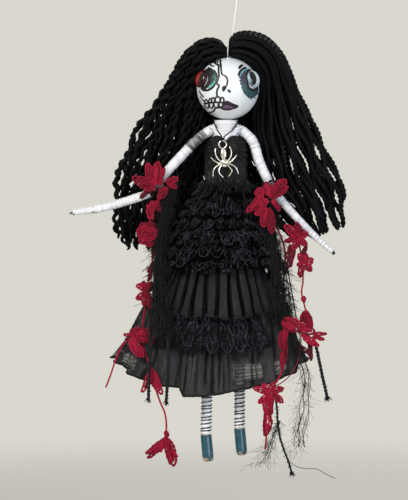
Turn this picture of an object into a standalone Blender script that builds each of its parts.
"""A hanging art doll in metres, +Z up, its front towards -Y.

A painted ball head hangs on a thread. It carries a wig of black yarn, two glass cabochon eyes and a
body of wire wound with white thread, dressed in tiers of black lace, pleats and organza, with strings
of red yarn flowers at the elbows. The origin is where the hanging loop bears on its hook.
"""

import math

import bmesh
import bpy
from mathutils import Vector

MM = 0.001
TURN = 2 * math.pi

# Clearances between pieces
SEAT = 0.3 * MM
WEAVE_SEAT = 0.5 * MM

# Hanging thread and its loop
THREAD_DIAMETER = 0.8 * MM
LOOP_LENGTH = 10.0 * MM
LOOP_WIDTH = 5.0 * MM
THREAD_LENGTH = 51.0 * MM
THREAD_LEAN = 6.5 * MM

# Head and its eyes
HEAD_DIAMETER = 40.0 * MM
CROWN_OFFSET = 1.2 * MM
EYE_DIAMETER = 11.0 * MM
EYE_HEIGHT = 3.2 * MM
RED_EYE_TURN = 58.0
WHITE_EYE_TURN = 53.5
EYE_LIFT = 14.5

# Hair: the gathered upper part and the separate ropes that hang from it
LEFT_PARTING = 1.5 * MM
RIGHT_PARTING = 3.6 * MM
HAIR_RIDGES = 12
HAIR_RIDGE_HEIGHT = 0.7 * MM
HAIR_GATHER_DROP = 24.0 * MM
LEFT_ROPE_DIAMETER = 5.2 * MM
RIGHT_ROPE_DIAMETER = 4.3 * MM
ROPE_END_DIAMETER = 3.0 * MM

# Neck and torso, wound with white thread
NECK_DIAMETER = 14.6 * MM
NECK_LENGTH = 6.0 * MM
ARMPIT_RISE = 3.6 * MM
SHOULDER_DROP = 9.5 * MM
SHOULDER_WIDTH = 21.0 * MM
WAIST_DROP = 32.0 * MM
WAIST_WIDTH = 17.0 * MM
HIP_DROP = 46.0 * MM
HIP_WIDTH = 20.0 * MM
TORSO_DEPTH = 13.0 * MM

# Arms
ARM_DIAMETER = 6.6 * MM
WRIST_DIAMETER = 5.0 * MM
HAND_TIP_DIAMETER = 2.4 * MM
BINDING_LENGTH = 3.4 * MM
BINDING_WALL = 0.9 * MM

# Legs, the black thread wound on them, and the boots
LEG_DIAMETER = 6.2 * MM
HIP_SPREAD = 11.0 * MM
FOOT_SPREAD = 21.6 * MM
LEFT_LEG_LENGTH = 149.5 * MM
RIGHT_LEG_LENGTH = 145.5 * MM
LEG_THREAD_DIAMETER = 0.8 * MM
LEG_THREAD_PITCH = 3.2 * MM
LEG_THREAD_RISE = 33.0 * MM
BOOT_DIAMETER = 7.2 * MM
BOOT_LENGTH = 17.8 * MM
BOOT_LEAN = 1.6 * MM

# Necklace and spider charm
NECKLACE_DIAMETER = 0.9 * MM
NECKLACE_RISE = 4.6 * MM
HITCH_SHIFT = 1.5 * MM
CHARM_RING_DIAMETER = 5.8 * MM
CHARM_WIRE_DIAMETER = 1.0 * MM
CHARM_HANG = 8.1 * MM
ABDOMEN_LENGTH = 7.2 * MM
ABDOMEN_WIDTH = 4.0 * MM
THORAX_WIDTH = 5.6 * MM
THORAX_LENGTH = 4.4 * MM
CHARM_DEPTH = 3.0 * MM

# Dress cloth
CLOTH = 0.8 * MM
BODICE_WALL = 1.1 * MM
BODICE_DROP = 5.0 * MM
BODICE_LENGTH = 28.8 * MM
BODICE_TOP_WIDTH = 25.6 * MM
BODICE_CHEST_WIDTH = 26.6 * MM
BODICE_WAIST_WIDTH = 26.4 * MM
BODICE_FOLD = 0.7 * MM
BODICE_FOLDS = 16
LACE_FOLDS = 16
PLEATS = 28
ORGANZA_FOLDS = 16

# Red yarn flowers and cords
FLOWER_THICKNESS = 4.6 * MM
GARLAND_DIAMETER = 1.3 * MM
TAIL_DIAMETER = 1.2 * MM
STRAND_DIAMETER = 2.2 * MM
LONG_STRAND_DIAMETER = 1.4 * MM
WAVY_THREAD_DIAMETER = 0.6 * MM


def clear_scene():
    """Start from an empty scene."""
    for item in list(bpy.data.objects):
        bpy.data.objects.remove(item)


def finish(name, colour, roughness, metallic=0.0):
    """A plain material: red, green and blue, roughness and metallic value."""
    made = bpy.data.materials.new(name)
    made.use_nodes = True
    shader = made.node_tree.nodes["Principled BSDF"]
    shader.inputs["Base Color"].default_value = (*colour, 1.0)
    shader.inputs["Roughness"].default_value = roughness
    shader.inputs["Metallic"].default_value = metallic
    return made


def mm(x, y, z):
    """A point given in millimetres."""
    return Vector((x, y, z)) * MM


def keep(item, material, parent):
    """Put a new object into the scene with its material and its parent."""
    item.data.materials.append(material)
    bpy.context.scene.collection.objects.link(item)
    item.parent = parent
    if parent:
        item.location = item.location - parent.location
    return item


def body(name, rings, material, parent, origin, closed=False):
    """One closed body through rings of equal point count, with end caps unless it closes on itself."""
    mesh_form = bmesh.new()
    rows = [[mesh_form.verts.new(point - origin) for point in ring] for ring in rings]
    count = len(rows[0])
    for index in range(len(rows) if closed else len(rows) - 1):
        here = rows[index]
        after = rows[(index + 1) % len(rows)]
        for i in range(count):
            j = (i + 1) % count
            mesh_form.faces.new((here[i], here[j], after[j], after[i]))
    if not closed:
        mesh_form.faces.new(rows[0])
        mesh_form.faces.new(list(reversed(rows[-1])))
    bmesh.ops.recalc_face_normals(mesh_form, faces=mesh_form.faces)
    mesh = bpy.data.meshes.new(name)
    mesh_form.to_mesh(mesh)
    mesh_form.free()
    mesh.shade_smooth()
    mesh.set_sharp_from_angle(angle=math.radians(50))
    item = bpy.data.objects.new(name, mesh)
    item.location = origin
    return keep(item, material, parent)


def curve_point(points, position):
    """A point on the smooth curve through the given points, at a position counted in spans."""
    last = len(points) - 1
    span = min(int(position), last - 1)
    t = position - span
    p1, p2 = points[span], points[span + 1]
    p0 = points[span - 1] if span > 0 else p1 * 2 - p2
    p3 = points[span + 2] if span + 2 <= last else p2 * 2 - p1
    linear = p1 * 2 + (p2 - p0) * t
    square = (p0 * 2 - p1 * 5 + p2 * 4 - p3) * t**2
    cube = (p1 * 3 - p0 - p2 * 3 + p3) * t**3
    return 0.5 * (linear + square + cube)


def smooth(points, spacing):
    """Evenly spaced points on the smooth curve through the given ones."""
    fine = [curve_point(points, i / 24) for i in range(24 * (len(points) - 1) + 1)]
    run = [0.0]
    for before, after in zip(fine, fine[1:]):
        run.append(run[-1] + (after - before).length)
    count = max(2, round(run[-1] / spacing))
    found = []
    index = 0
    for step in range(count + 1):
        wanted = run[-1] * step / count
        while index < len(run) - 2 and run[index + 1] < wanted:
            index += 1
        share = (wanted - run[index]) / (run[index + 1] - run[index])
        found.append(fine[index].lerp(fine[index + 1], share))
    return found


def round_ring(centre, side, up, radius, sides):
    """Points round a circle that the two square directions span."""
    angles = [TURN * k / sides for k in range(sides)]
    return [centre + (side * math.cos(angle) + up * math.sin(angle)) * radius for angle in angles]


def sweep(points, radii, sides):
    """Round rings square to a path, one for each of its points."""
    rings = []
    side = None
    for index, point in enumerate(points):
        ahead = (points[min(index + 1, len(points) - 1)] - points[max(index - 1, 0)]).normalized()
        side = ahead.orthogonal() if side is None else side
        side = (side - ahead * side.dot(ahead)).normalized()
        up = ahead.cross(side)
        rings.append(round_ring(point, side, up, radii[index], sides))
    return rings


def along(stops, share):
    """The value at a share of the way along a list of evenly spaced values."""
    position = share * (len(stops) - 1)
    index = min(int(position), len(stops) - 2)
    return stops[index] + (stops[index + 1] - stops[index]) * (position - index)


def cord(name, points, diameter, material, parent):
    """A round cord along the smooth curve through the given points."""
    curve = bpy.data.curves.new(name, "CURVE")
    curve.dimensions = "3D"
    curve.bevel_depth = diameter / 2
    curve.bevel_resolution = 2
    curve.use_fill_caps = True
    run = smooth(points, 3 * diameter)
    if len(run) > 78:
        run = smooth(points, 3 * diameter * len(run) / 78)
    spline = curve.splines.new("POLY")
    spline.points.add(len(run) - 1)
    for knot, point in zip(spline.points, run):
        knot.co = (*(point - points[0]), 1.0)
    item = bpy.data.objects.new(name, curve)
    item.location = points[0]
    return keep(item, material, parent)


def ball_point(centre, radius, turn, lift):
    """A point on a ball, turned about +Z from the front and lifted, both in degrees."""
    turn = math.radians(turn)
    lift = math.radians(lift)
    away = Vector((math.sin(turn) * math.cos(lift), -math.cos(turn) * math.cos(lift), math.sin(lift)))
    return centre + away * radius, away


def turned(centre, axis, profile, sides):
    """Rings of a turned form: the profile is pairs of radius and height along the axis."""
    side = axis.orthogonal().normalized()
    up = axis.cross(side)
    return [round_ring(centre + axis * height, side, up, radius, sides) for radius, height in profile]


def ball_profile(radius, height, count):
    """Radius and height pairs over a ball of a radius and a half height, pole to pole."""
    steps = [math.pi * (i + 0.18) / (count + 0.36 - 1) for i in range(count)]
    return [(radius * math.sin(a), -height * math.cos(a)) for a in steps]


def flower(name, centre, petals, heart, thickness, material, parent):
    """A flat bloom in the XZ plane: petals are (angle in degrees, length, width) about its heart."""
    count = 32
    reach = []
    for k in range(count):
        angle = TURN * k / count
        far = heart
        for lean, length, width in petals:
            away = abs((angle - math.radians(lean) + math.pi) % TURN - math.pi)
            half = 1.5 * math.atan2(width, length)
            if away < half:
                far = max(far, length * math.cos(math.pi / 2 * away / half) ** 0.8)
        reach.append(far)
    rings = []
    for scale, depth in ((0.82, 0.5), (1.0, 0.1), (0.78, -0.5)):
        rings.append(
            [
                centre
                + Vector(
                    (
                        math.cos(TURN * k / count) * reach[k] * scale,
                        depth * thickness,
                        math.sin(TURN * k / count) * reach[k] * scale,
                    )
                )
                for k in range(count)
            ]
        )
    return body(name, rings, material, parent, centre)


def tier(name, levels, count, wave, wall, material, parent, centre):
    """A hollow tier of cloth: levels are (drop, half width, half depth, shift, fold, side rise)."""

    def surface(inset):
        rings = []
        for drop, half_width, half_depth, shift, fold, side_rise in levels:
            ring = []
            for k in range(count):
                angle = TURN * k / count
                out = fold * wave(angle) - inset
                ring.append(
                    centre
                    + Vector(
                        (
                            shift + (half_width + out) * math.sin(angle),
                            -(half_depth + out) * math.cos(angle),
                            side_rise * abs(math.sin(angle)) ** 4 - drop,
                        )
                    )
                )
            rings.append(ring)
        return rings

    outside = surface(0.0)
    inside = surface(wall)
    return body(name, outside + inside[::-1], material, parent, centre, closed=True)


def gathers(folds):
    """Soft round folds, evenly spaced."""
    return lambda angle: math.cos(folds * angle)


def knife_pleats(pleats):
    """A saw-tooth round the waist, with one steep side to each pleat."""
    return lambda angle: 2 * ((pleats * angle / TURN) % 1.0) - 1


clear_scene()

BLACK_YARN = finish("black_yarn", (0.006, 0.006, 0.008), 0.85)
WHITE_THREAD = finish("white_thread", (0.80, 0.80, 0.78), 0.6)
WHITE_PAINT = finish("white_paint", (0.84, 0.85, 0.86), 0.18)
RED_GLASS = finish("red_glass", (0.55, 0.03, 0.02), 0.08)
PALE_GLASS = finish("pale_glass", (0.62, 0.72, 0.78), 0.08)
BLACK_THREAD = finish("black_thread", (0.01, 0.01, 0.012), 0.6)
TEAL_PAINT = finish("teal_paint", (0.02, 0.19, 0.23), 0.3)
SILVER = finish("silver_alloy", (0.78, 0.74, 0.66), 0.3, 1.0)
BLACK_LACE = finish("black_lace", (0.012, 0.012, 0.016), 0.8)
PLEATED_SATIN = finish("pleated_satin", (0.035, 0.035, 0.042), 0.55)
ORGANZA = finish("organza", (0.018, 0.02, 0.022), 0.5)
RED_YARN = finish("red_yarn", (0.30, 0.012, 0.03), 0.8)
GREY_THREAD = finish("grey_thread", (0.12, 0.12, 0.13), 0.7)

# Hanging loop and thread: the loop's top inner edge is the origin
doll = bpy.data.objects.new("doll", None)
bpy.context.scene.collection.objects.link(doll)

thread_radius = THREAD_DIAMETER / 2
loop_centre = Vector((0, 0, -LOOP_LENGTH / 2 + thread_radius))
loop_path = [
    loop_centre
    + Vector((LOOP_WIDTH / 2 * math.sin(TURN * k / 16), 0, LOOP_LENGTH / 2 * math.cos(TURN * k / 16)))
    for k in range(16)
]
loop_rings = []
for index, point in enumerate(loop_path):
    ahead = (loop_path[(index + 1) % 16] - loop_path[index - 1]).normalized()
    out = Vector((0, 1, 0)).cross(ahead)
    loop_rings.append(round_ring(point, out, Vector((0, 1, 0)), thread_radius, 6))
body("hanging_loop", loop_rings, WHITE_THREAD, doll, Vector((0, 0, 0)), closed=True)

thread_top = Vector((0, 0, -LOOP_LENGTH - SEAT))
crown = thread_top + Vector((-THREAD_LEAN, 0, -THREAD_LENGTH))
thread_run = smooth([thread_top, (thread_top + crown) / 2, crown], THREAD_LENGTH / 6)
thread_rings = sweep(thread_run, [thread_radius] * len(thread_run), 8)
body("hanging_thread", thread_rings, WHITE_THREAD, doll, thread_top)

# Head ball, under the thread's end, and its two eyes
head_radius = HEAD_DIAMETER / 2
head_rise = math.sqrt((head_radius + SEAT) ** 2 - CROWN_OFFSET**2)
head_centre = crown + Vector((-CROWN_OFFSET, 0, -head_rise))
body(
    "head_ball",
    turned(head_centre, Vector((0, 0, 1)), ball_profile(head_radius, head_radius, 14), 26),
    WHITE_PAINT,
    doll,
    head_centre,
)


def eye(name, turn, material):
    """A domed cabochon glued flat on the ball."""
    seat, away = ball_point(head_centre, head_radius + SEAT, turn, EYE_LIFT)
    radius = EYE_DIAMETER / 2
    angles = [math.pi / 2 * share for share in (0.0, 0.28, 0.56, 0.86)]
    profile = [(radius * 0.94, 0.0)]
    profile += [(radius * math.cos(a), EYE_HEIGHT * (0.2 + 0.8 * math.sin(a))) for a in angles]
    body(name, turned(seat, away, profile, 14), material, doll, seat)


eye("red_eye", -RED_EYE_TURN, RED_GLASS)
eye("white_eye", WHITE_EYE_TURN, PALE_GLASS)

# Hair: each side is gathered over the ball from the parting and falls into separate ropes
HAIR_DEPTHS = ((6, 17), (6, 17.5), (7, 17), (8.5, 16), (9, 14), (9.5, 11), (10, 8))
LEFT_HAIR = (
    ((-1.5, 17), (-1.5, 27)),
    ((-8, 17), (-8.5, 32)),
    ((-15, 13), (-21, 29.5)),
    ((-20, 7), (-34, 16.5)),
    ((-21, -2), (-41.5, 1)),
    ((-23, -13), (-50, -10)),
    ((-26, -24), (-59, -24)),
)
RIGHT_HAIR = (
    ((3.6, 17), (3.6, 31)),
    ((9, 17), (10, 36)),
    ((16, 12.5), (26, 32)),
    ((20, 7), (39, 18)),
    ((21, -2), (46.5, 0)),
    ((23, -13), (52, -12)),
    ((25, -24), (58, -24)),
)
head_cutter = bpy.data.objects.new("head_cutter", bpy.data.meshes.new("head_cutter"))
cutter_form = bmesh.new()
bmesh.ops.create_uvsphere(cutter_form, u_segments=24, v_segments=16, radius=head_radius + 2 * SEAT)
cutter_form.to_mesh(head_cutter.data)
cutter_form.free()
head_cutter.location = head_centre
head_cutter.display_type = "WIRE"
head_cutter.hide_render = True
bpy.context.scene.collection.objects.link(head_cutter)


def hair_gather(name, stations, parting):
    """The ridged mass of yarn from the parting to where the ropes part, seated on the ball."""
    drop = -HAIR_GATHER_DROP / stations[-1][0][1] / MM
    inner = [Vector((x, 0, z)) for (x, z), _ in stations]
    outer = [Vector((x, 0, z)) for _, (x, z) in stations]
    depths = [Vector((middle, half, 0)) for middle, half in HAIR_DEPTHS]
    count = 3 * HAIR_RIDGES
    rings = []
    rows = 10
    for row in range(rows + 1):
        position = (len(stations) - 1) * row / rows
        low = curve_point(inner, position)
        high = curve_point(outer, position)
        middle, half, _ = curve_point(depths, position)
        centre = (low + high) / 2 + Vector((0, middle, 0))
        across = (high - low) / 2
        ridge = HAIR_RIDGE_HEIGHT / MM
        ring = []
        for k in range(count):
            angle = TURN * k / count
            swell = 1 + ridge * math.cos(HAIR_RIDGES * angle) / across.length
            deep = Vector((0, half * math.sin(angle), 0))
            point = centre + (across * math.cos(angle) + deep) * swell
            if row == 0:
                point.x = parting / MM
            point.z *= drop if row == rows else 1.0
            ring.append(head_centre + point * MM)
        rings.append(ring)
    item = body(name, rings, BLACK_YARN, doll, head_centre)
    cut = item.modifiers.new("seat_on_head", "BOOLEAN")
    cut.operation = "DIFFERENCE"
    cut.object = head_cutter
    return item


hair_gather("hair_gather_left", LEFT_HAIR, -LEFT_PARTING)
hair_gather("hair_gather_right", RIGHT_HAIR, RIGHT_PARTING)

# Hair down the back, from the crown to behind the skirt: height, depth behind the ball's centre,
# half width and half thickness, all in millimetres from the ball's centre
BACK_HAIR = (
    (15, 17, 12, 3.2),
    (8, 21.5, 17, 4),
    (-5, 23.5, 19, 3.6),
    (-24, 22, 20, 3.8),
    (-57, 22, 21, 3.8),
    (-90, 23, 20, 3.4),
)
back_rings = []
for height, depth, half_width, half_depth in BACK_HAIR:
    ring = []
    for k in range(2 * HAIR_RIDGES):
        angle = TURN * k / (2 * HAIR_RIDGES)
        swell = HAIR_RIDGE_HEIGHT / MM * (-1) ** k * abs(math.sin(angle)) / 2
        across = half_width * math.cos(angle)
        ring.append(head_centre + mm(across, depth + (half_depth + swell) * math.sin(angle), height))
    back_rings.append(ring)
hair_back = body("hair_back", back_rings, BLACK_YARN, doll, head_centre)
back_cut = hair_back.modifiers.new("seat_on_head", "BOOLEAN")
back_cut.operation = "DIFFERENCE"
back_cut.object = head_cutter

# Ropes: each starts under the gathered part; the inner and outer routes are blended between
LEFT_ROPE_INNER = ((-28.5, 10), (-28.5, 10), (-31, 14), (-32, 20), (-33, 23))
LEFT_ROPE_OUTER = ((-56.5, 10), (-56.5, 10), (-66, 12.5), (-71.5, 14), (-73, 14))
LEFT_ROPE_ENDS = (98, 101, 104, 103, 96, 83)
RIGHT_ROPE_INNER = ((27.5, 10), (27.5, 10), (30, 14), (31, 20), (31, 23))
RIGHT_ROPE_OUTER = ((55.5, 10), (55.5, 10), (66, 12.5), (71, 14), (77, 14))
RIGHT_ROPE_ENDS = (94, 98, 104, 101, 104, 101, 88)
ROPE_LEVELS = (0.0, 0.035, 0.3, 0.66, 1.0)


def hair_rope(name, inner, outer, blend, end, diameter):
    """One rope of twisted yarn, from the gathered hair down to its cut end."""
    top = HAIR_GATHER_DROP / MM + 0.9
    points = []
    for (x0, y0), (x1, y1), level in zip(inner, outer, ROPE_LEVELS):
        drop = top + (end - top) * level
        points.append(head_centre + mm(x0 + (x1 - x0) * blend, y0 + (y1 - y0) * blend, -drop))
    run = points[:1] + smooth(points[1:], 11 * MM)
    width = [1.0, 1.0, 0.96, 0.9, 0.8, ROPE_END_DIAMETER / diameter]
    radii = [diameter / 2 * along(width, i / (len(run) - 1)) for i in range(len(run))]
    body(name, sweep(run, radii, 7), BLACK_YARN, doll, points[0])


for side, inner, outer, ends, diameter in (
    ("left", LEFT_ROPE_INNER, LEFT_ROPE_OUTER, LEFT_ROPE_ENDS, LEFT_ROPE_DIAMETER),
    ("right", RIGHT_ROPE_INNER, RIGHT_ROPE_OUTER, RIGHT_ROPE_ENDS, RIGHT_ROPE_DIAMETER),
):
    for number, end in enumerate(ends):
        blend = number / (len(ends) - 1)
        hair_rope(f"hair_rope_{side}_{number + 1}", inner, outer, blend, end, diameter)

# Neck and torso, one wound form under the ball
NECK_SHIFT = -1.3 * MM
neck_radius = NECK_DIAMETER / 2
neck_top = head_centre + Vector((NECK_SHIFT, 0, -head_radius - SEAT))
neck_base = neck_top - Vector((0, 0, NECK_LENGTH))
rim_rise = head_radius - math.sqrt(head_radius**2 - (neck_radius + abs(NECK_SHIFT)) ** 2)
torso_sections = (
    (-NECK_LENGTH + SEAT, 0.3 * neck_radius, 0.3 * neck_radius),
    (-NECK_LENGTH - rim_rise * 0.35 + SEAT, neck_radius, neck_radius),
    (ARMPIT_RISE, neck_radius, neck_radius),
    (SHOULDER_DROP, SHOULDER_WIDTH / 2, TORSO_DEPTH / 2),
    (WAIST_DROP, WAIST_WIDTH / 2, TORSO_DEPTH / 2),
    (HIP_DROP, HIP_WIDTH / 2, TORSO_DEPTH / 2),
)
torso_angles = [TURN * k / 20 for k in range(20)]
torso_rings = [
    [neck_base + Vector((half_width * math.sin(a), -half_depth * math.cos(a), -drop)) for a in torso_angles]
    for drop, half_width, half_depth in torso_sections
]
body("torso_wrap", torso_rings, WHITE_THREAD, doll, neck_base)

# Arms, from the neck's sides to the hand tips: a hand-set bend at each elbow
arm_start = neck_radius + SEAT
LEFT_ARM_ROUTE = (
    (0.0, 0.0, 0.0),
    (-2.4, 0.0, 0.0),
    (-12.2, -0.8, -8.3),
    (-22.1, -1.6, -18.5),
    (-30.8, -3.5, -28.1),
    (-40.4, -5.5, -40.0),
    (-45.2, -6.2, -42.8),
    (-61.5, -6.0, -48.0),
    (-73.7, -5.0, -51.2),
    (-90.1, -4.0, -53.7),
)
RIGHT_ARM_ROUTE = (
    (0.0, 0.0, 0.0),
    (2.4, 0.0, 0.0),
    (9.8, -0.8, -8.0),
    (13.5, -1.6, -19.8),
    (17.6, -3.5, -29.4),
    (23.4, -5.5, -40.3),
    (28.5, -6.2, -46.7),
    (39.4, -6.2, -58.8),
    (51.5, -6.0, -71.0),
    (60.5, -5.5, -78.7),
)


def arm(name, route, side):
    """One arm of wire wound with thread, tapering to the hand's tip; it gives back its route."""
    points = [neck_base + Vector((side * arm_start, 0, 0)) + mm(x, y, z) for x, y, z in route]
    run = points[:1] + smooth(points[1:], 7.5 * MM)
    forearm = (ARM_DIAMETER + WRIST_DIAMETER) / 2
    widths = [ARM_DIAMETER, ARM_DIAMETER, ARM_DIAMETER, forearm, WRIST_DIAMETER, HAND_TIP_DIAMETER]
    radii = [along(widths, i / (len(run) - 1)) / 2 for i in range(len(run))]
    body(name, sweep(run, radii, 10), WHITE_THREAD, doll, points[0])
    return points


left_arm = arm("left_arm_wrap", LEFT_ARM_ROUTE, -1)
right_arm = arm("right_arm_wrap", RIGHT_ARM_ROUTE, 1)


def binding(name, points, index):
    """A band of dark thread wound round the arm above its elbow."""
    middle = curve_point(points, index)
    ahead = (curve_point(points, index + 0.1) - curve_point(points, index - 0.1)).normalized()
    inner = ARM_DIAMETER / 2 + WEAVE_SEAT
    outer = inner + BINDING_WALL
    half = BINDING_LENGTH / 2
    profile = [(inner, -half), (outer, -half), (outer, half), (inner, half)]
    body(name, turned(middle, ahead, profile, 16), BLACK_THREAD, doll, middle, closed=True)


binding("left_elbow_binding", left_arm, 4.5)
binding("right_elbow_binding", right_arm, 4.45)

# Legs, side by side under the hips, each wound with black thread and ending in a boot
leg_top = neck_base - Vector((0, 0, HIP_DROP + SEAT))
leg_radius = LEG_DIAMETER / 2
LEG_SHIFT = -2.0 * MM


def leg(side, name, length):
    """One wound leg with its spiral of black thread and its painted boot."""
    hip = leg_top + Vector((side * HIP_SPREAD / 2, 0, 0))
    foot = leg_top + Vector((LEG_SHIFT + side * FOOT_SPREAD / 2, 0, -length))
    knee = hip.lerp(foot, 0.55) + Vector((side * 1.4 * MM, 0, 0))
    path = [hip, knee, foot]
    run = smooth(path, 18 * MM)
    body(f"{name}_leg_wrap", sweep(run, [leg_radius] * len(run), 12), WHITE_THREAD, doll, hip)
    coil_radius = leg_radius + SEAT + LEG_THREAD_DIAMETER / 2
    steps = round(9 * LEG_THREAD_RISE / LEG_THREAD_PITCH)
    risen = smooth([foot, knee, hip], LEG_THREAD_PITCH / 9)[3 : steps + 4]
    coil = []
    for step, middle in enumerate(risen):
        angle = TURN * step / 9
        coil.append(middle + Vector((math.sin(angle), -math.cos(angle), 0)) * coil_radius)
    coil_name = f"{name}_leg_thread"
    body(coil_name, sweep(coil, [LEG_THREAD_DIAMETER / 2] * len(coil), 4), BLACK_THREAD, doll, foot)
    boot_top = foot - Vector((0, 0, SEAT))
    down = Vector((BOOT_LEAN, 0, -BOOT_LENGTH)).normalized()
    radius = BOOT_DIAMETER / 2
    profile = [
        (radius * 0.96, 0.25 * MM),
        (radius, 0.8 * MM),
        (radius, BOOT_LENGTH - 0.7 * radius),
        (radius * 0.86, BOOT_LENGTH - 0.3 * radius),
        (radius * 0.5, BOOT_LENGTH - 0.06 * radius),
        (radius * 0.2, BOOT_LENGTH),
    ]
    body(f"{name}_boot", turned(boot_top, down, profile, 16), TEAL_PAINT, doll, boot_top)


leg(-1, "left", LEFT_LEG_LENGTH)
leg(1, "right", RIGHT_LEG_LENGTH)

# Dress: a ruched bodice on the torso, a lining cone, and four tiers sewn to it from the waist down
bodice_depth = TORSO_DEPTH / 2 + 2.9 * MM
BODICE_SHAPE = (
    (BODICE_DROP, BODICE_TOP_WIDTH, 0.0, -4.5 * MM),
    (12.5 * MM, BODICE_CHEST_WIDTH, 0.4 * MM, -1.0 * MM),
    (21.0 * MM, BODICE_CHEST_WIDTH + 0.4 * MM, 0.4 * MM, 0.0),
    (BODICE_DROP + BODICE_LENGTH, BODICE_WAIST_WIDTH, 0.1 * MM, 0.0),
)
bodice_levels = [
    (drop, width / 2, bodice_depth + more_depth, 0.0, BODICE_FOLD, side_rise)
    for drop, width, more_depth, side_rise in BODICE_SHAPE
]
bodice_wave = gathers(BODICE_FOLDS)
tier("bodice", bodice_levels, 2 * BODICE_FOLDS, bodice_wave, BODICE_WALL, BLACK_LACE, doll, neck_base)


def levels_mm(*levels):
    """The levels of a tier, given in millimetres."""
    return [tuple(value * MM for value in level) for level in levels]


waist = (BODICE_DROP + BODICE_LENGTH + SEAT) / MM
lace_levels = levels_mm(
    (waist, 13.5, 9.8, -0.5, 0.5, 0),
    (50, 22, 13.5, -3, 1.2, 0),
    (69, 32, 16.8, -5, 1.8, 0),
    (90.3, 41, 19.5, -5.4, 2.2, 0),
)
lace_wave = gathers(LACE_FOLDS)
tier("upper_lace_tier", lace_levels, 4 * LACE_FOLDS, lace_wave, CLOTH, BLACK_LACE, doll, neck_base)
lining_levels = levels_mm(
    (40, 14, 8.7, -1, 0, 0),
    (76, 24, 11.5, -4, 0, 0),
    (100, 26, 12, -5, 0, 0),
    (112, 26.6, 11.9, -5, 0, 0),
)
tier("skirt_lining", lining_levels, 20, gathers(1), CLOTH, BLACK_LACE, doll, neck_base)
pleated_levels = levels_mm(
    (82, 26.6, 13.6, -4.4, 0.7, 0),
    (92, 29, 14.4, -4.3, 0.9, 2),
    (121.3, 38, 23, -4.3, 1.5, 11),
)
pleat_wave = knife_pleats(PLEATS)
tier("pleated_tier", pleated_levels, 3 * PLEATS, pleat_wave, CLOTH, PLEATED_SATIN, doll, neck_base)
organza_levels = levels_mm(
    (112.5, 46, 9, -6, 0.8, 0),
    (122, 49.5, 10.2, -7.5, 1.1, 0),
    (138, 55, 12, -9, 1.4, 2),
    (166, 61.5, 17, -9.8, 1.8, 19),
)
organza_wave = gathers(ORGANZA_FOLDS)
tier("organza_tier", organza_levels, 4 * ORGANZA_FOLDS, organza_wave, CLOTH, ORGANZA, doll, neck_base)

# Lower lace tier: a gathered front panel, hanging from the lining over the organza
PANEL_FOLDS = 7
panel_levels = levels_mm(
    (106, 20, 13.6, 10.2, -5, 0.5),
    (119.5, 26.5, 16.6, 11.8, -6, 1.0),
    (132, 35, 20, 13.5, -7, 1.6),
    (145.3, 38.5, 23.5, 15, -7.5, 1.8),
)
panel_rings = []
for drop, half_width, middle_depth, edge_depth, shift, fold in panel_levels:
    count = 4 * PANEL_FOLDS
    shares = [2 * k / count - 1 for k in range(count + 1)]
    front = []
    back = []
    for share in shares:
        depth = middle_depth - (middle_depth - edge_depth) * share**2
        out = depth + fold * math.cos(PANEL_FOLDS * math.pi * share)
        front.append(neck_base + Vector((shift + half_width * share, -out, -drop)))
        back.append(neck_base + Vector((shift + half_width * share, CLOTH - out, -drop)))
    panel_rings.append(front + back[::-1])
body("lower_lace_tier", panel_rings, BLACK_LACE, doll, neck_base)

# Necklace: a cord round the neck, tied off behind it, that is caught in a hitch round the top of the
# charm's ring
ring_radius = (CHARM_RING_DIAMETER - CHARM_WIRE_DIAMETER) / 2
hinge = neck_base + Vector((-2.2 * MM, -13 * MM, -CHARM_HANG))
hitch_radius = (CHARM_WIRE_DIAMETER + NECKLACE_DIAMETER) / 2 + SEAT
collar = neck_radius + SEAT + NECKLACE_DIAMETER / 2
hitch = [math.radians(d) for d in (-12, 30, 75, 120, 165, 200)]
NECK_SIDE = (-8, -35, -65, -95)


def collar_points(angles):
    """Points round the neck, at angles in degrees from behind it."""
    turns = [math.radians(angle) for angle in angles]
    return [neck_base + Vector((collar * math.sin(a), collar * math.cos(a), NECKLACE_RISE)) for a in turns]


necklace_points = collar_points(NECK_SIDE)
necklace_points += [neck_base + mm(-6.9, -5.4, 2.4), neck_base + mm(-5.2, -9.2, -1.6)]
necklace_points += [hinge + mm(-0.9, -2.4, 3.2)]
for index, angle in enumerate(hitch):
    shift = HITCH_SHIFT * (index / (len(hitch) - 1) - 0.5)
    round_wire = Vector((shift, -hitch_radius * math.cos(angle), -hitch_radius * math.sin(angle)))
    necklace_points.append(hinge + round_wire)
necklace_points += [hinge + mm(1.4, 1.3, 3.0)]
necklace_points += [neck_base + mm(3.6, -9.3, -1.6), neck_base + mm(6.7, -5.4, 2.4)]
necklace_points += collar_points([-angle for angle in reversed(NECK_SIDE)])
necklace_run = smooth(necklace_points, 1.0 * MM)
necklace_rings = sweep(necklace_run, [NECKLACE_DIAMETER / 2] * len(necklace_run), 5)
body("necklace_cord", necklace_rings, BLACK_THREAD, doll, necklace_points[0])

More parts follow.
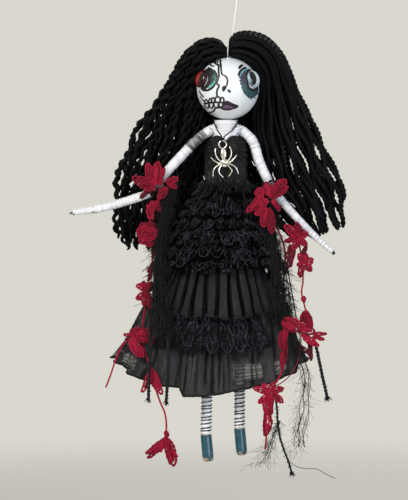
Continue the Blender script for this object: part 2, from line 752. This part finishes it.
# Spider charm: one casting that swings on the hitch, about the top of its ring
charm_pivot = bpy.data.objects.new("charm_pivot", None)
charm_pivot.location = hinge
bpy.context.scene.collection.objects.link(charm_pivot)
ring_centre = hinge - Vector((0, 0, ring_radius))
SPIDER_LEGS = (
    ((-1.3, -10.7), (-3.8, -7.9), (-4.7, -4.9), (-4.3, -2.1)),
    ((3.6, -10.2), (5.3, -7.4), (5.6, -4.0), (4.4, -1.1)),
    ((-1.8, -12.0), (-3.5, -11.5), (-5.8, -9.9), (-7.6, -8.1)),
    ((4.4, -11.3), (6.0, -10.3), (7.7, -8.4), (9.1, -6.5)),
    ((-2.0, -12.7), (-4.3, -14.3), (-5.8, -16.8), (-6.2, -20.9)),
    ((4.6, -12.3), (7.2, -13.6), (9.0, -15.6), (10.2, -19.0)),
    ((-0.8, -13.2), (-2.3, -16.3), (-1.9, -18.5), (0.6, -21.2)),
    ((3.2, -13.0), (5.5, -15.8), (5.8, -17.5), (3.7, -20.7)),
)
abdomen_drop = ring_radius + ABDOMEN_LENGTH / 2 - 0.1 * MM
thorax_drop = ring_radius + ABDOMEN_LENGTH + THORAX_LENGTH / 2 - 0.6 * MM
abdomen_centre = ring_centre + Vector((0.6 * MM, 0, -abdomen_drop))
thorax_centre = ring_centre + Vector((1.3 * MM, 0, -thorax_drop))
jaw_centre = thorax_centre - Vector((0, 0, THORAX_LENGTH / 2 + 0.3 * MM))


def lump(name, centre, half_width, half_depth, half_height):
    """An egg-shaped boss of the casting."""
    rings = []
    for radius, rise in ball_profile(half_width, half_height, 6):
        flat = Vector((0, half_depth / half_width, 0))
        rings.append(round_ring(centre + Vector((0, 0, rise)), Vector((1, 0, 0)), flat, radius, 10))
    return body(name, rings, SILVER, None, centre)


ring_rings = []
for k in range(16):
    angle = TURN * k / 16
    out = Vector((math.sin(angle), 0, math.cos(angle)))
    wire = CHARM_WIRE_DIAMETER / 2
    ring_rings.append(round_ring(ring_centre + out * ring_radius, out, Vector((0, 1, 0)), wire, 6))
charm = body("spider_charm", ring_rings, SILVER, charm_pivot, hinge, closed=True)
members = [
    lump("abdomen", abdomen_centre, ABDOMEN_WIDTH / 2, CHARM_DEPTH / 2, ABDOMEN_LENGTH / 2 + 0.3 * MM),
    lump("thorax", thorax_centre, THORAX_WIDTH / 2, CHARM_DEPTH / 2, THORAX_LENGTH / 2),
    lump("jaws", jaw_centre, 1.5 * MM, 1.0 * MM, 0.9 * MM),
]
thorax_shift = thorax_centre - ring_centre - mm(1.3, 0, -11.7)
for number, route in enumerate(SPIDER_LEGS):
    leg_origin = ring_centre + thorax_shift
    points = [leg_origin + mm(x, -0.5 * math.sin(math.pi * i / 3), z) for i, (x, z) in enumerate(route)]
    root = points[0].lerp(thorax_centre, 0.3)
    run = smooth([root] + points[1:], 2.0 * MM)
    rings = sweep(run, [CHARM_WIRE_DIAMETER / 2] * len(run), 5)
    members.append(body(f"spider_leg_{number + 1}", rings, SILVER, None, points[0]))
for member in members:
    member.hide_render = True
    member.display_type = "WIRE"
    join = charm.modifiers.new(member.name, "BOOLEAN")
    join.operation = "UNION"
    join.object = member


def bloom(name, place, petals, heart):
    """A red yarn flower: its place, its petals as (angle, length, width) and its heart, in millimetres."""
    centre = neck_base + mm(*place)
    sized = [(lean, length * MM, width * MM) for lean, length, width in petals]
    flower(name, centre, sized, heart * MM, FLOWER_THICKNESS, RED_YARN, doll)


ELBOW_LEFT_PETALS = ((146, 13, 6), (88, 16, 6), (60, 17.5, 6), (5, 18, 6), (-32, 9, 6), (-84, 21, 8))
bloom("left_elbow_flower", (-49.9, -11.8, -37.6), ELBOW_LEFT_PETALS, 3.4)
bloom("left_rosette", (-49.6, -11.8, -68.1), ((45, 8.4, 8), (160, 7.6, 8), (270, 8, 8)), 6.8)
bloom("left_loop_flower", (-53.1, -11.8, -104.1), ((170, 6.4, 6), (60, 5.6, 5), (-70, 9, 4)), 3.6)
SKIRT_LEFT_PETALS = ((100, 8.5, 8), (175, 8, 5), (15, 8.3, 8), (-62, 14, 6))
bloom("left_skirt_flower", (-56.9, -15.4, -134.2), SKIRT_LEFT_PETALS, 4.4)
bloom("left_leaf_pair", (-48.0, -20.2, -153.4), ((-115, 14, 5), (-68, 18, 6)), 2.4)
bloom("left_tassel", (-38.4, -14.8, -198.0), ((-152, 15, 5), (-66, 19, 6), (90, 3, 3)), 2.4)
ELBOW_RIGHT_PETALS = (
    (42, 15, 7),
    (100, 8, 6),
    (219, 16.4, 7),
    (256, 20.5, 6),
    (277, 24, 6),
    (-38, 9, 5),
)
bloom("right_elbow_flower", (25.6, -15.0, -44.0), ELBOW_RIGHT_PETALS, 3.6)
UPPER_RIGHT_PETALS = ((232, 12, 6), (-24, 8, 6), (105, 8.5, 5), (60, 9, 5))
bloom("right_upper_flower", (45.5, -11.8, -68.9), UPPER_RIGHT_PETALS, 3.6)
bloom("right_side_flower", (50.6, -11.8, -87.5), ((120, 8, 6), (10, 5.5, 6), (250, 8, 5)), 3.6)
SKIRT_RIGHT_PETALS = ((78, 10, 8), (170, 11, 6), (244, 22, 5), (-36, 20.5, 6), (5, 9, 7))
bloom("right_skirt_flower", (47.4, -14.2, -131.0), SKIRT_RIGHT_PETALS, 4.0)
HEM_RIGHT_PETALS = ((-98, 26, 5), (-70, 22, 5), (-30, 10, 5), (170, 7, 5))
bloom("right_hem_flower", (28.5, -20.3, -168.1), HEM_RIGHT_PETALS, 3.0)

# Cords: each route is hand-chosen, in millimetres from the neck's base
LEFT_GARLAND = (
    (-50.5, -8.5, -48.5),
    (-48.6, -8.5, -60.0),
    (-48.0, -8.5, -71.5),
    (-47.0, -8.5, -82.4),
    (-48.3, -8.5, -90.7),
    (-50.2, -8.5, -99.7),
    (-51.2, -8.7, -109.9),
    (-52.8, -8.9, -122.7),
    (-53.7, -9.3, -134.0),
    (-51.2, -12.2, -144.5),
    (-48.0, -14.6, -153.4),
    (-45.4, -16.7, -163.7),
    (-42.2, -16.4, -173.9),
    (-39.0, -15.8, -181.6),
    (-38.0, -15.2, -189.3),
    (-38.4, -14.9, -194.4),
)
LEFT_TAIL = (
    (-62.6, -12.1, -134.3),
    (-66.8, -12.0, -140.0),
    (-70.7, -11.6, -148.6),
    (-73.6, -11.2, -157.3),
    (-76.8, -11.0, -165.6),
)
RIGHT_GARLAND = (
    (28.0, -11.7, -53.0),
    (34.0, -10.6, -66.4),
    (37.6, -8.5, -77.2),
    (37.4, -8.5, -90.7),
    (36.7, -8.5, -103.5),
    (37.0, -8.6, -116.3),
    (37.8, -8.8, -126.5),
    (39.0, -9.3, -138.7),
    (37.8, -10.9, -148.3),
    (34.6, -14.2, -157.3),
    (30.1, -16.7, -164.9),
    (26.3, -16.6, -173.9),
    (25.0, -15.4, -186.7),
    (25.6, -15.2, -196.9),
    (24.8, -15.0, -204.9),
)
RIGHT_SIDE_CORD = (
    (46.5, -8.6, -71.5),
    (48.7, -8.6, -85.6),
    (49.3, -8.6, -97.1),
    (48.4, -8.8, -104.8),
    (50.0, -9.6, -112.4),
    (51.9, -10.6, -121.4),
    (50.4, -11.0, -127.8),
)
LEFT_STRAND = (
    (-45.2, -2.5, -106.5),
    (-46.9, -9.0, -111.0),
    (-47.6, -15.0, -119.0),
    (-48.0, -18.5, -132.0),
    (-48.4, -22.5, -146.0),
    (-48.8, -24.4, -156.0),
    (-49.2, -24.4, -172.0),
)
LEFT_INNER_STRAND = (
    (-40.3, -3.5, -69.0),
    (-42.0, -8.0, -78.0),
    (-41.6, -13.6, -90.0),
    (-40.2, -14.6, -100.0),
    (-38.6, -16.6, -116.0),
    (-37.4, -20.0, -131.0),
    (-36.6, -23.6, -144.0),
    (-37.0, -24.3, -158.0),
    (-38.0, -24.4, -174.0),
)
RIGHT_STRAND = (
    (56.0, -10.4, -134.0),
    (58.4, -10.6, -143.0),
    (61.5, -11.0, -157.9),
    (64.7, -11.0, -172.0),
)
LONG_STRAND = (
    (31.0, -17.0, -168.5),
    (32.4, -16.2, -179.0),
    (33.0, -15.0, -188.0),
    (34.2, -15.0, -196.0),
    (36.5, -15.0, -204.0),
    (39.7, -15.0, -212.3),
    (41.8, -15.0, -219.7),
)
WAVY_THREAD = (
    (41.4, -15.0, -213.2),
    (45.2, -15.0, -215.8),
    (50.6, -15.0, -217.0),
    (57.9, -15.0, -217.4),
    (63.4, -15.0, -220.4),
    (69.5, -15.0, -223.2),
)
for name, route, diameter, material in (
    ("left_garland_cord", LEFT_GARLAND, GARLAND_DIAMETER, RED_YARN),
    ("left_tail_cord", LEFT_TAIL, TAIL_DIAMETER, RED_YARN),
    ("right_garland_cord", RIGHT_GARLAND, GARLAND_DIAMETER, RED_YARN),
    ("right_side_cord", RIGHT_SIDE_CORD, TAIL_DIAMETER, RED_YARN),
    ("left_black_strand", LEFT_STRAND, STRAND_DIAMETER, BLACK_YARN),
    ("left_inner_strand", LEFT_INNER_STRAND, STRAND_DIAMETER, BLACK_YARN),
    ("right_black_strand", RIGHT_STRAND, STRAND_DIAMETER, BLACK_YARN),
    ("long_black_strand", LONG_STRAND, LONG_STRAND_DIAMETER, BLACK_YARN),
    ("wavy_grey_thread", WAVY_THREAD, WAVY_THREAD_DIAMETER, GREY_THREAD),
):
    cord(name, [neck_base + mm(*point) for point in route], diameter, material, doll)
